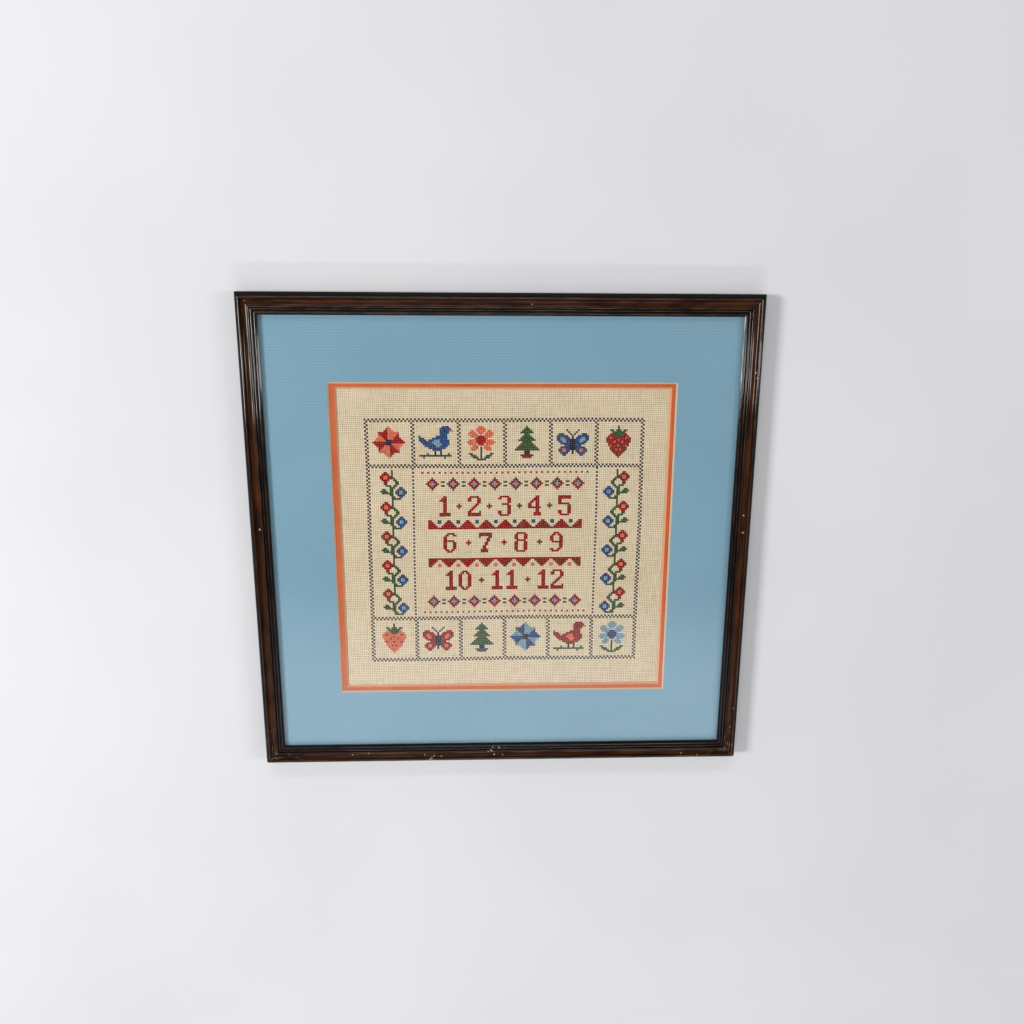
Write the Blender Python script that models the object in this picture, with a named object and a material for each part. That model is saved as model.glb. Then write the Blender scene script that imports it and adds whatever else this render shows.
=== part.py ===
"""Framed cross stitch sampler, lying face up on its back.

Four mitred rails of a dark stepped moulding hold a stack in their rebate: glass, an outer mat, an
inner mat, the stitched cloth and a plain backing board. The origin is at the middle of the back,
X runs along the width, Y towards the picture's top edge and Z out of the picture's face.
"""

import math
from collections import namedtuple

import bmesh
import bpy

MM = 0.001

# Driving sizes of the frame
FRAME_WIDTH = 483.0 * MM
FRAME_HEIGHT = 465.3 * MM
GAP = 0.3 * MM

# Section of the moulding, across from its outer side and up from its back
RAIL_WIDTH = 20.4 * MM
REBATE_FROM = 15.0 * MM
LIP_UNDERSIDE = 15.5 * MM
OUTER_SIDE_HEIGHT = 12.0 * MM
SHOULDER_TOP_IN = 3.4 * MM
SHOULDER_TOP_HEIGHT = 18.5 * MM
LIP_EDGE_HEIGHT = 16.3 * MM
QUIRK_FLOOR = 17.5 * MM
QUIRK_FROM = 6.1 * MM
QUIRK_TO = 6.9 * MM
STEP_FOOT_IN = 14.3 * MM
STEP_FOOT_HEIGHT = 16.9 * MM

# Each bead or hollow of the moulding's face, from the outer side inwards. It is an arc about a
# centre (across, up) with a half width and a rise, between two angles. 180 degrees is its outer
# end, 90 is the crown of a bead and 270 is the floor of a hollow.
FaceArc = namedtuple("FaceArc", "across up half_width rise first last steps")
OUTER_BEAD = FaceArc(5.0 * MM, 18.3 * MM, 1.0 * MM, 0.9 * MM, 160, 0, 5)
SCOOP = FaceArc(10.0 * MM, 18.4 * MM, 3.1 * MM, 1.9 * MM, 180, 360, 8)
CREST = FaceArc(13.5 * MM, 18.2 * MM, 0.5 * MM, 0.5 * MM, 150, 0, 4)
FINE_BEAD = FaceArc(15.4 * MM, 16.9 * MM, 0.9 * MM, 0.75 * MM, 180, 0, 4)
LIP_BEAD = FaceArc(18.5 * MM, 16.8 * MM, 1.1 * MM, 0.85 * MM, 180, 0, 5)

# Thicknesses of the stack under the lip, and the windows of the two mats at their undersides
GLASS_THICKNESS = 2.0 * MM
MAT_THICKNESS = 1.4 * MM
CLOTH_THICKNESS = 1.0 * MM
BOARD_THICKNESS = 3.0 * MM
STACK_CLEARANCE = 0.3 * MM

Window = namedtuple("Window", "width height across up")
OUTER_WINDOW = Window(323.0 * MM, 305.6 * MM, 0.4 * MM, -1.7 * MM)
INNER_WINDOW = Window(312.0 * MM, 296.0 * MM, 1.0 * MM, -1.4 * MM)

# Finishes: base colour, roughness and metallic value
Finish = namedtuple("Finish", "colour roughness metallic")
DARK_WOOD = Finish((0.035, 0.016, 0.010), 0.35, 0.0)
CLEAR_GLASS = Finish((0.86, 0.92, 0.94), 0.05, 0.0)
BLUE_CARD = Finish((0.25, 0.42, 0.53), 0.85, 0.0)
ORANGE_CARD = Finish((0.62, 0.20, 0.09), 0.80, 0.0)
EVENWEAVE = Finish((0.72, 0.60, 0.44), 0.90, 0.0)
BOARD = Finish((0.33, 0.24, 0.16), 0.85, 0.0)


def clear_scene():
    """Removes every object that the file starts with."""
    for item in list(bpy.data.objects):
        bpy.data.objects.remove(item, do_unlink=True)


def new_collection(name):
    """Makes a collection in the scene."""
    collection = bpy.data.collections.new(name)
    bpy.context.scene.collection.children.link(collection)
    return collection


def new_material(name, finish):
    """Makes a plain Principled material from a finish."""
    material = bpy.data.materials.new(name)
    material.use_nodes = True
    shader = material.node_tree.nodes["Principled BSDF"]
    shader.inputs["Base Color"].default_value = (*finish.colour, 1.0)
    shader.inputs["Roughness"].default_value = finish.roughness
    shader.inputs["Metallic"].default_value = finish.metallic
    return material


def new_object(name, mesh, collection, material=None):
    """Puts a mesh in a collection as a named object."""
    item = bpy.data.objects.new(name, mesh)
    collection.objects.link(item)
    if material:
        mesh.materials.append(material)
    return item


def arc_points(arc):
    """Works out the points of one bead or hollow, from its outer end to its inner end."""
    points = []
    for step in range(arc.steps + 1):
        angle = math.radians(arc.first + (arc.last - arc.first) * step / arc.steps)
        points.append((arc.across + arc.half_width * math.cos(angle), arc.up + arc.rise * math.sin(angle)))
    return points


def moulding_outline():
    """Works out the closed section of a rail: up its outer side, over its face, down the rebate."""
    face = [(0.0, OUTER_SIDE_HEIGHT), (SHOULDER_TOP_IN, SHOULDER_TOP_HEIGHT)]
    face += arc_points(OUTER_BEAD)
    face += [(QUIRK_FROM, QUIRK_FLOOR), (QUIRK_TO, QUIRK_FLOOR)]
    face += arc_points(SCOOP) + arc_points(CREST)
    face += [(STEP_FOOT_IN, STEP_FOOT_HEIGHT)]
    face += arc_points(FINE_BEAD) + arc_points(LIP_BEAD)
    rebate = [
        (RAIL_WIDTH, LIP_EDGE_HEIGHT),
        (RAIL_WIDTH, LIP_UNDERSIDE),
        (REBATE_FROM, LIP_UNDERSIDE),
        (REBATE_FROM, 0.0),
    ]
    return [(0.0, 0.0)] + face + rebate


def extruded_section(name, outline, length, collection):
    """Extrudes a flat outline along its own Z by a length, and gives its welded mesh."""
    curve = bpy.data.curves.new(name, "CURVE")
    curve.dimensions = "2D"
    curve.fill_mode = "BOTH"
    curve.extrude = length / 2
    spline = curve.splines.new("POLY")
    spline.points.add(len(outline) - 1)
    for point, (across, up) in zip(spline.points, outline):
        point.co = (across, up, 0.0, 1.0)
    spline.use_cyclic_u = True
    guide = bpy.data.objects.new(name, curve)
    collection.objects.link(guide)
    evaluated = guide.evaluated_get(bpy.context.evaluated_depsgraph_get())
    mesh = bpy.data.meshes.new_from_object(evaluated)
    bpy.data.objects.remove(guide, do_unlink=True)
    body = bmesh.new()
    body.from_mesh(mesh)
    bmesh.ops.remove_doubles(body, verts=body.verts, dist=0.00001)
    bmesh.ops.recalc_face_normals(body, faces=body.faces)
    body.to_mesh(mesh)
    body.free()
    return mesh


def mitred_rail(name, length, centre, turn, collection, material):
    """Makes one rail whose ends are cut back along their mitres, and sets it on its side of the frame.

    The mesh has its outer side at y = 0 and its inner side towards +y, and the turn is about Z.
    """
    mesh = extruded_section(name, moulding_outline(), length, collection)
    mitre_gap = GAP / 2 * math.sqrt(2)
    for vertex in mesh.vertices:
        across, up, along = vertex.co
        end = length / 2 - across - mitre_gap
        vertex.co = (math.copysign(end, along), across, up)
    rail = new_object(name, mesh, collection, material)
    rail.location = centre
    rail.rotation_euler = (0.0, 0.0, turn)
    mesh.shade_smooth()
    mesh.set_sharp_from_angle(angle=math.radians(40))
    return rail


def flat_sheet(name, width, height, low, thickness, collection, material):
    """Makes a flat rectangular sheet whose underside is at a height above the frame's back."""
    mesh = bpy.data.meshes.new(name)
    body = bmesh.new()
    bmesh.ops.create_cube(body, size=1.0)
    bmesh.ops.scale(body, vec=(width, height, thickness), verts=body.verts)
    body.to_mesh(mesh)
    body.free()
    sheet = new_object(name, mesh, collection, material)
    sheet.location = (0.0, 0.0, low + thickness / 2)
    return sheet


def cut_window(mat, window, thickness, cutters):
    """Cuts a mat's window with a bevel at 45 degrees that opens towards the face."""
    mesh = bpy.data.meshes.new(mat.name + "_window")
    body = bmesh.new()
    bmesh.ops.create_cube(body, size=1.0)
    for vertex in body.verts:
        overrun = math.copysign(thickness, vertex.co.z)
        widening = overrun + thickness / 2
        vertex.co.x = math.copysign(window.width / 2 + widening, vertex.co.x)
        vertex.co.y = math.copysign(window.height / 2 + widening, vertex.co.y)
        vertex.co.z = overrun
    body.to_mesh(mesh)
    body.free()
    cutter = new_object(mat.name + "_window", mesh, cutters)
    cutter.location = (window.across, window.up, mat.location.z)
    cutter.hide_render = True
    cutter.display_type = "WIRE"
    boolean = mat.modifiers.new("window", "BOOLEAN")
    boolean.operation = "DIFFERENCE"
    boolean.object = cutter


def build_rails(collection):
    """Makes the four rails, each with its outer side on the frame's outline."""
    wood = new_material("dark_wood", DARK_WOOD)
    half_width = FRAME_WIDTH / 2
    half_height = FRAME_HEIGHT / 2
    mitred_rail("rail_bottom", FRAME_WIDTH, (0, -half_height, 0), 0.0, collection, wood)
    mitred_rail("rail_right", FRAME_HEIGHT, (half_width, 0, 0), math.pi / 2, collection, wood.copy())
    mitred_rail("rail_top", FRAME_WIDTH, (0, half_height, 0), math.pi, collection, wood.copy())
    mitred_rail("rail_left", FRAME_HEIGHT, (-half_width, 0, 0), -math.pi / 2, collection, wood.copy())


def build_stack(collection, cutters):
    """Makes the sheets in the rebate, from the glass under the lip down to the backing board."""
    width = FRAME_WIDTH - 2 * (REBATE_FROM + STACK_CLEARANCE)
    height = FRAME_HEIGHT - 2 * (REBATE_FROM + STACK_CLEARANCE)
    top = LIP_UNDERSIDE
    sheets = (
        ("glass_pane", GLASS_THICKNESS, CLEAR_GLASS, None),
        ("outer_mat", MAT_THICKNESS, BLUE_CARD, OUTER_WINDOW),
        ("inner_mat", MAT_THICKNESS, ORANGE_CARD, INNER_WINDOW),
        ("sampler_cloth", CLOTH_THICKNESS, EVENWEAVE, None),
        ("backing_board", BOARD_THICKNESS, BOARD, None),
    )
    for name, thickness, finish, window in sheets:
        low = top - GAP - thickness
        material = new_material(name, finish)
        sheet = flat_sheet(name, width, height, low, thickness, collection, material)
        if window:
            cut_window(sheet, window, thickness, cutters)
        top = low


def main():
    """Builds the framed sampler."""
    clear_scene()
    collection = new_collection("framed_cross_stitch_sampler")
    cutters = new_collection("cutters")
    build_rails(collection)
    build_stack(collection, cutters)


main()
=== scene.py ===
"""The looks of a framed cross stitch sampler that lies face up on a pale floor.

Lengths are in metres. X runs along the frame's width, Y towards the picture's top edge and Z out of
its face. The frame's rails and the stitched cloth are modelled here. The mats, the glass and the
board keep their solids and get their finishes here.
"""

import logging
import math
from collections.abc import Callable
from dataclasses import dataclass, field
from enum import Enum
from typing import NamedTuple

import bpy
import numpy as np
from mathutils import Matrix, Vector, noise


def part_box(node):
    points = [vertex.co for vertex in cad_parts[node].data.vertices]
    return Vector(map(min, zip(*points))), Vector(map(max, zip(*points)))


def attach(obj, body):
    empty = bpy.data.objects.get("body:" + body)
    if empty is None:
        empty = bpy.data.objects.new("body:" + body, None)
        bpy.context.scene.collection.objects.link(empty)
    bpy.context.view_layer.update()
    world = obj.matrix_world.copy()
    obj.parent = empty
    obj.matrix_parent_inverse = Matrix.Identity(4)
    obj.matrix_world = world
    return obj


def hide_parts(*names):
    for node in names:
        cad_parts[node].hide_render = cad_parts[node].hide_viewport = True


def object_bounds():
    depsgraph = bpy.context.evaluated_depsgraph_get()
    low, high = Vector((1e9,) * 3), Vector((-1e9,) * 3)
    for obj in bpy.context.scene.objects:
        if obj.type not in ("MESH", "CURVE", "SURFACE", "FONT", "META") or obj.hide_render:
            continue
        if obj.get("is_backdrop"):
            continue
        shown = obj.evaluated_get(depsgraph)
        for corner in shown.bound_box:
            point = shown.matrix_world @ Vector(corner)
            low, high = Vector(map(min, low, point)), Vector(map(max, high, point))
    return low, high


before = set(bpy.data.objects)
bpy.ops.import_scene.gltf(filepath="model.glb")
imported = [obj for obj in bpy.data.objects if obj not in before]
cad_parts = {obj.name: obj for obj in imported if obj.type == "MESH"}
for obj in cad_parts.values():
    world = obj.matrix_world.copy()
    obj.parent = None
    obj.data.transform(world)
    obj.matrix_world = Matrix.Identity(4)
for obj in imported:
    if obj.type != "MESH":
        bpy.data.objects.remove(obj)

MM = 0.001
BODY = "root"
log = logging.getLogger("sampler")

Colour = tuple[float, float, float]


def shade(red: int, green: int, blue: int) -> Colour:
    """Turns a colour as seen on a screen, 0 to 255, into the linear one that a shader takes."""
    shares = (red / 255, green / 255, blue / 255)
    return tuple(s / 12.92 if s <= 0.04045 else ((s + 0.055) / 1.055) ** 2.4 for s in shares)


def maths(operation: str, swapped: bool = False) -> Callable[["Signal", "Signal | float"], "Signal"]:
    """Makes a method of Signal that takes a second number.

    Args:
        operation: The Math node's operation.
        swapped: Whether the second number comes first.

    Returns:
        The method.
    """

    def method(self: "Signal", other: "Signal | float") -> "Signal":
        """Works on both numbers with one Math node."""
        return self.apply(operation, other, self) if swapped else self.apply(operation, self, other)

    return method


class Signal:
    """A number that changes from place to place: sums with it add Math nodes to its network."""

    def __init__(self, network: "Network", socket: bpy.types.NodeSocket) -> None:
        """Wraps a socket of a network."""
        self.network = network
        self.socket = socket

    def apply(self, operation: str, *terms: "Signal | float") -> "Signal":
        """Adds one Math node with the terms as its inputs, and gives what comes out of it."""
        made = self.network.node("ShaderNodeMath", {"operation": operation}, dict(enumerate(terms)))
        return Signal(self.network, made.outputs[0])

    __add__ = maths("ADD")
    __radd__ = maths("ADD", swapped=True)
    __sub__ = maths("SUBTRACT")
    __rsub__ = maths("SUBTRACT", swapped=True)
    __mul__ = maths("MULTIPLY")
    __rmul__ = maths("MULTIPLY", swapped=True)
    __truediv__ = maths("DIVIDE")
    __pow__ = maths("POWER")
    highest = maths("MAXIMUM")

    def absolute(self) -> "Signal":
        """Gives the size without the sign."""
        return self.apply("ABSOLUTE", self)

    def fraction(self) -> "Signal":
        """Gives what is left over a whole number."""
        return self.apply("FRACT", self)

    def sine(self) -> "Signal":
        """Gives the sine."""
        return self.apply("SINE", self)

    def between(self, low: float, high: float) -> "Signal":
        """Rises smoothly from 0 at low to 1 at high, or falls where high is the smaller.

        Args:
            low: Where it is 0.
            high: Where it is 1.

        Returns:
            The rising share.
        """
        if low > high:
            return 1.0 - self.between(high, low)
        inputs = {"Value": self, "From Min": low, "From Max": high}
        made = self.network.node("ShaderNodeMapRange", {"interpolation_type": "SMOOTHSTEP"}, inputs)
        return Signal(self.network, made.outputs[0])


class Network:
    """The node tree of a material or of the world."""

    def __init__(self, owner: bpy.types.Material | bpy.types.World) -> None:
        """Empties the owner's node tree.

        Args:
            owner: What the network belongs to.
        """
        owner.use_nodes = True
        self.tree = owner.node_tree
        self.tree.nodes.clear()

    def node(
        self, kind: str, settings: dict | None = None, inputs: dict | None = None
    ) -> bpy.types.Node:
        """Adds a node.

        Args:
            kind: Its type.
            settings: Its own settings, set first.
            inputs: A value, a signal or a socket for each input, by name or number.

        Returns:
            The node.
        """
        made = self.tree.nodes.new(kind)
        for key, value in (settings or {}).items():
            setattr(made, key, value)
        for key, value in (inputs or {}).items():
            self.feed(made.inputs[key], value)
        return made

    def feed(self, socket: bpy.types.NodeSocket, value: object) -> None:
        """Links or sets one input socket.

        Args:
            socket: The input socket.
            value: What goes into it: a signal, a socket, a colour or a number.
        """
        if isinstance(value, Signal):
            value = value.socket
        if isinstance(value, bpy.types.NodeSocket):
            self.tree.links.new(value, socket)
        elif isinstance(value, tuple) and socket.type == "RGBA":
            socket.default_value = (*value, 1.0)
        else:
            socket.default_value = value

    def split(self, vector: bpy.types.NodeSocket) -> tuple[Signal, Signal, Signal]:
        """Splits a vector into its three numbers."""
        made = self.node("ShaderNodeSeparateXYZ", inputs={0: vector})
        return tuple(Signal(self, made.outputs[k]) for k in range(3))

    def joined(self, *numbers: Signal | float) -> bpy.types.NodeSocket:
        """Joins up to three numbers into a vector."""
        return self.node("ShaderNodeCombineXYZ", inputs=dict(enumerate(numbers))).outputs[0]


class Streaks(NamedTuple):
    """Noise drawn out along a piece: its lumps in each unit along and around, layer and detail."""

    along: float
    around: float
    layer: float
    detail: float


class Paint(Network):
    """One material, built up node by node."""

    def __init__(self, name: str) -> None:
        """Starts an empty material with that name."""
        self.material = bpy.data.materials.new(name)
        super().__init__(self.material)

    def place(self) -> bpy.types.NodeSocket:
        """Gives the point on the surface, in metres."""
        return self.node("ShaderNodeTexCoord").outputs["Object"]

    def laid(self, name: str) -> bpy.types.NodeSocket:
        """Gives the piece's own UV map of that name."""
        return self.node("ShaderNodeUVMap", {"uv_map": name}).outputs[0]

    def marked(self, name: str) -> Signal:
        """Gives the piece's own number of that name, held at its points."""
        return Signal(self, self.node("ShaderNodeAttribute", {"attribute_name": name}).outputs["Fac"])

    def cloud(self, vector: bpy.types.NodeSocket, scale: float, detail: float = 3.0) -> Signal:
        """Gives soft noise from 0 to 1, read at the vector, with scale as its lumps in each metre."""
        inputs = {"Vector": vector, "Scale": scale, "Detail": detail}
        return Signal(self, self.node("ShaderNodeTexNoise", inputs=inputs).outputs[0])

    def drawn_out(self, along: Signal, around: Signal, streaks: Streaks) -> Signal:
        """Gives noise from 0 to 1 at a place along and around the piece, drawn out by its measures."""
        place = self.joined(along * streaks.along, around * streaks.around, streaks.layer)
        return self.cloud(place, 1.0, streaks.detail)

    def mixed(self, first: object, second: object, share: Signal | float) -> bpy.types.NodeSocket:
        """Mixes a share of the second colour into the first."""
        made = self.node("ShaderNodeMix", {"data_type": "RGBA"}, {0: share, 6: first, 7: second})
        return made.outputs[2]

    def tinted(self, colour: object, strength: Signal) -> bpy.types.NodeSocket:
        """Multiplies a colour by a number that changes over the surface.

        Args:
            colour: The colour.
            strength: The number.

        Returns:
            The lighter or darker colour.
        """
        grey = self.node("ShaderNodeCombineColor", inputs=dict.fromkeys(range(3), strength))
        settings = {"data_type": "RGBA", "blend_type": "MULTIPLY"}
        return self.node("ShaderNodeMix", settings, {0: 1.0, 6: colour, 7: grey.outputs[0]}).outputs[2]

    def raised(self, height: Signal, depth: float) -> bpy.types.NodeSocket:
        """Turns a height into a normal, with depth as how far 1 stands above 0, in metres."""
        return self.node("ShaderNodeBump", inputs={"Distance": depth, "Height": height}).outputs[0]

    def finish(self, **inputs: object) -> bpy.types.Material:
        """Ends the material with a Principled shader.

        Args:
            **inputs: The shader's inputs, with _ for a space in their names.

        Returns:
            The material.
        """
        named = {key.replace("_", " "): value for key, value in inputs.items()}
        shader = self.node("ShaderNodeBsdfPrincipled", inputs=named)
        self.node("ShaderNodeOutputMaterial", inputs={"Surface": shader.outputs[0]})
        return self.material


class RailPaint(Paint):
    """A rail's material, with the places along, around and across it that its mesh carries."""

    def __init__(self, name: str) -> None:
        """Starts the material and reads the places.

        Args:
            name: The material's name.
        """
        super().__init__(name)
        self.along, self.around, _ = self.split(self.laid("rail"))
        self.across = self.marked("across")
        self.crest = self.marked("crest")


# Knocks in the moulding, down to the pale wood: their place across and up the frame and their
# radius, in millimetres
KNOCKS_MM = (
    (-14.8, -220.4, 0.9),
    (-12.3, -218.8, 0.8),
    (-10.3, -216.1, 0.6),
    (-10.8, -220.5, 0.7),
    (-8.8, -224.3, 0.8),
    (-3.9, -216.5, 0.8),
    (-0.4, -224.5, 0.6),
    (-79.9, -223.8, 0.6),
    (-74.5, -228.0, 0.9),
    (-72.8, -226.5, 0.8),
    (-70.4, -224.9, 0.7),
    (-62.8, -225.0, 0.6),
    (-153.4, -222.8, 0.7),
    (-137.2, -221.6, 0.6),
    (184.2, -225.3, 0.6),
    (201.0, -226.7, 0.5),
    (235.2, -175.5, 0.6),
    (233.5, -196.7, 0.6),
    (232.5, 26.0, 0.8),
    (233.0, 9.0, 0.9),
    (234.5, 161.8, 0.8),
    (235.8, 157.3, 0.6),
    (26.0, 222.5, 0.6),
    (-231.1, 224.3, 0.5),
    (-231.5, 14.0, 0.9),
)


@dataclass(frozen=True)
class StainedWood:
    """The moulding's finish: dark stain with some grain, pale wear on its edges, chips and painted
    highlights on its upper crests.
    """

    half_width: float
    half_height: float
    black: Colour = shade(12, 6, 4)
    brown: Colour = shade(74, 38, 12)
    # Pale wear, also the colour of the painted highlight lines on the crests
    rubbed_and_highlight: Colour = shade(112, 78, 56)
    raw: Colour = shade(196, 168, 134)
    grain: Streaks = Streaks(24.0, 900.0, 0.0, 5.0)
    patches: Streaks = Streaks(30.0, 160.0, 3.0, 4.0)
    wear: Streaks = Streaks(55.0, 500.0, 7.0, 4.0)
    flecks: Streaks = Streaks(420.0, 700.0, 1.0, 2.0)
    scratches: Streaks = Streaks(90.0, 1500.0, 2.0, 2.0)
    brown_from: float = 4.0 * MM
    brown_to: float = 14.0 * MM
    # Across the rail, where the painted highlight on the step inside the scoop lies
    highlit_step_from: float = 12.4 * MM
    highlit_step_to: float = 14.2 * MM
    raggedness: float = 2.6
    relief: float = 0.06 * MM

    def knocked(self, paint: Paint) -> Signal:
        """Finds the knocks, which have ragged edges.

        Args:
            paint: The material.

        Returns:
            1 inside the knocks and 0 outside them.
        """
        place = paint.place()
        x, y, _ = paint.split(place)
        ragged = (paint.cloud(place, 1400.0) - 0.5) * self.raggedness
        inside: Signal | float = 0.0
        for across, up, radius in KNOCKS_MM:
            away_x = (x - across * MM) / (radius * MM)
            away_y = (y - up * MM) / (radius * MM)
            away = (away_x * away_x + away_y * away_y) ** 0.5 + ragged
            inside = away.between(1.05, 0.75).highest(inside)
        return inside

    def scraped(self, paint: RailPaint) -> Signal:
        """Finds the worn lower mitres and the scratches near them.

        Args:
            paint: The material.

        Returns:
            The share of bare wood.
        """
        place = paint.place()
        x, y, z = paint.split(place)
        low = y.between(-0.10, -0.20) * z.between(12.0 * MM, 14.0 * MM)
        low = low * paint.across.between(14.0 * MM, 12.5 * MM)
        off_mitre = (x.absolute() - self.half_width - y.absolute() + self.half_height).absolute()
        broken = paint.cloud(place, 260.0, 2.0).between(0.40, 0.58)
        off_corner = (self.half_width - x.absolute()).highest(self.half_height - y.absolute())
        scratched = paint.drawn_out(paint.along, paint.around, self.scratches).between(0.62, 0.70)
        scratched = scratched * off_corner.between(55.0 * MM, 15.0 * MM)
        return low * scratched.highest(off_mitre.between(1.0 * MM, 0.2 * MM) * broken)

    def worn_and_highlit(self, paint: RailPaint) -> Signal:
        """Finds the crests' wear with a painted highlight: more towards the top, and most on the step
        inside the scoop.

        Args:
            paint: The material.

        Returns:
            The share of pale wear and painted highlight.
        """
        _, up, _ = paint.split(paint.place())
        # The step's band and the rise towards the top are a painted highlight; the rest is wear
        step = paint.across.between(self.highlit_step_from, self.highlit_step_from + 0.5 * MM)
        step = step * paint.across.between(self.highlit_step_to, self.highlit_step_to - 0.4 * MM)
        wear = paint.drawn_out(paint.along, paint.around, self.wear).between(0.40, 0.64)
        return wear * (0.10 + (0.12 + 0.45 * step) * up.between(-0.10, 0.16)) * paint.crest

    def material(self) -> bpy.types.Material:
        """Makes the material.

        Returns:
            The material.
        """
        paint = RailPaint("stained_wood")
        grain = paint.drawn_out(paint.along, paint.around, self.grain)
        patches = paint.drawn_out(paint.along, paint.around, self.patches)
        brown_zone = paint.across.between(self.brown_from, self.brown_from + 2.0 * MM)
        brown_zone = brown_zone * paint.across.between(self.brown_to, self.brown_to - 1.5 * MM)
        share = (grain * 0.9 + patches * 0.9 - 0.45) * (brown_zone * 0.88 + 0.12)
        colour = paint.mixed(self.black, self.brown, share.between(0.1, 0.9))
        # Pale wear on the crests, with a painted highlight that grows towards the top
        colour = paint.mixed(colour, self.rubbed_and_highlight, self.worn_and_highlit(paint))
        flecks = paint.drawn_out(paint.along, paint.around, self.flecks).between(0.72, 0.80)
        colour = paint.mixed(colour, self.rubbed_and_highlight, flecks * brown_zone * 0.6)
        colour = paint.mixed(colour, self.raw, self.scraped(paint) * 0.6)
        knock = self.knocked(paint)
        colour = paint.mixed(colour, self.raw, knock * (0.55 + 0.45 * grain))
        sound = 1.0 - knock
        rubbing = 0.08 + 0.2 * patches.between(0.3, 0.6) + 0.6 * paint.crest
        polish = paint.across.between(3.4 * MM, 4.4 * MM) * rubbing
        return paint.finish(
            Base_Color=colour,
            Roughness=0.5 + 0.3 * patches,
            Specular_IOR_Level=0.05,
            Coat_Weight=polish * sound,
            Coat_Roughness=0.08,
            Normal=paint.raised(grain * 0.35 + sound * 1.2, self.relief),
        )


@dataclass(frozen=True)
class MatWindow:
    """The window of a mat at its underside, and the mat's thickness."""

    width: float
    height: float
    across: float
    up: float
    thickness: float = 1.4 * MM

    def cut(self, paint: Paint) -> Signal:
        """Finds the window's bevel, where the card's core shows.

        Args:
            paint: The material.

        Returns:
            1 on the bevel and 0 on the card's face.
        """
        x, y, _ = paint.split(paint.place())
        past_x = (x - self.across).absolute() - self.width / 2
        past_y = (y - self.up).absolute() - self.height / 2
        edge = past_x.highest(past_y)
        return edge.between(self.thickness * 1.04, self.thickness * 0.94)


@dataclass(frozen=True)
class RibbedCard:
    """The outer mat's finish: a blue paper face embossed with fine ribs, their valleys painted darker
    as shade, and a pale core.
    """

    window: MatWindow
    face: Colour = shade(126, 161, 179)
    # Darker blue of random patches, and the painted shade of the ribs' valleys
    deep_and_rib_shade: Colour = shade(112, 148, 167)
    core: Colour = shade(206, 178, 146)
    rib: float = 2.6 * MM
    relief: float = 0.03 * MM
    wander_lumps: float = 12.0
    strength_lumps: float = 34.0
    patch_lumps: float = 9.0

    def material(self) -> bpy.types.Material:
        """Makes the material.

        Returns:
            The material.
        """
        paint = Paint("ribbed_blue_card")
        place = paint.place()
        x, y, _ = paint.split(place)
        wander = paint.cloud(place, self.wander_lumps, 1.0)
        turn = 2 * math.pi / self.rib
        strength = paint.cloud(place, self.strength_lumps, 2.0).between(0.38, 0.62)
        flat_ribs = (y * turn + wander).sine() * (0.45 + 0.45 * strength)
        tall_ribs = (x * turn + wander).sine() * (0.55 - 0.40 * strength)
        ribs = (flat_ribs + tall_ribs) * 0.25 + 0.5
        # Painted shade: the ribs' valleys lean towards the darker blue; the patches vary the tone
        share = 0.6 * ribs + 0.4 * paint.cloud(place, self.patch_lumps)
        colour = paint.mixed(self.deep_and_rib_shade, self.face, share.between(0.2, 0.8))
        cut = self.window.cut(paint)
        colour = paint.mixed(colour, self.core, cut)
        normal = paint.raised((1.0 - cut) * ribs, self.relief)
        return paint.finish(Base_Color=colour, Roughness=0.85, Normal=normal)


@dataclass(frozen=True)
class PlainCard:
    """The inner mat's finish: burnt orange paper, a little faded, with a pale core."""

    window: MatWindow
    face: Colour = shade(184, 76, 28)
    faded: Colour = shade(202, 100, 48)
    core: Colour = shade(226, 154, 108)
    relief: float = 0.05 * MM
    fibre_lumps: float = 1800.0
    patch_lumps: float = 30.0

    def material(self) -> bpy.types.Material:
        """Makes the material.

        Returns:
            The material.
        """
        paint = Paint("orange_card")
        place = paint.place()
        fibre = paint.cloud(place, self.fibre_lumps, 4.0)
        share = 0.5 * fibre + 0.5 * paint.cloud(place, self.patch_lumps)
        colour = paint.mixed(self.face, self.faded, share.between(0.3, 0.7))
        colour = paint.mixed(colour, self.core, self.window.cut(paint) * 0.9)
        normal = paint.raised(fibre, self.relief)
        return paint.finish(Base_Color=colour, Roughness=0.8, Normal=normal)


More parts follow.
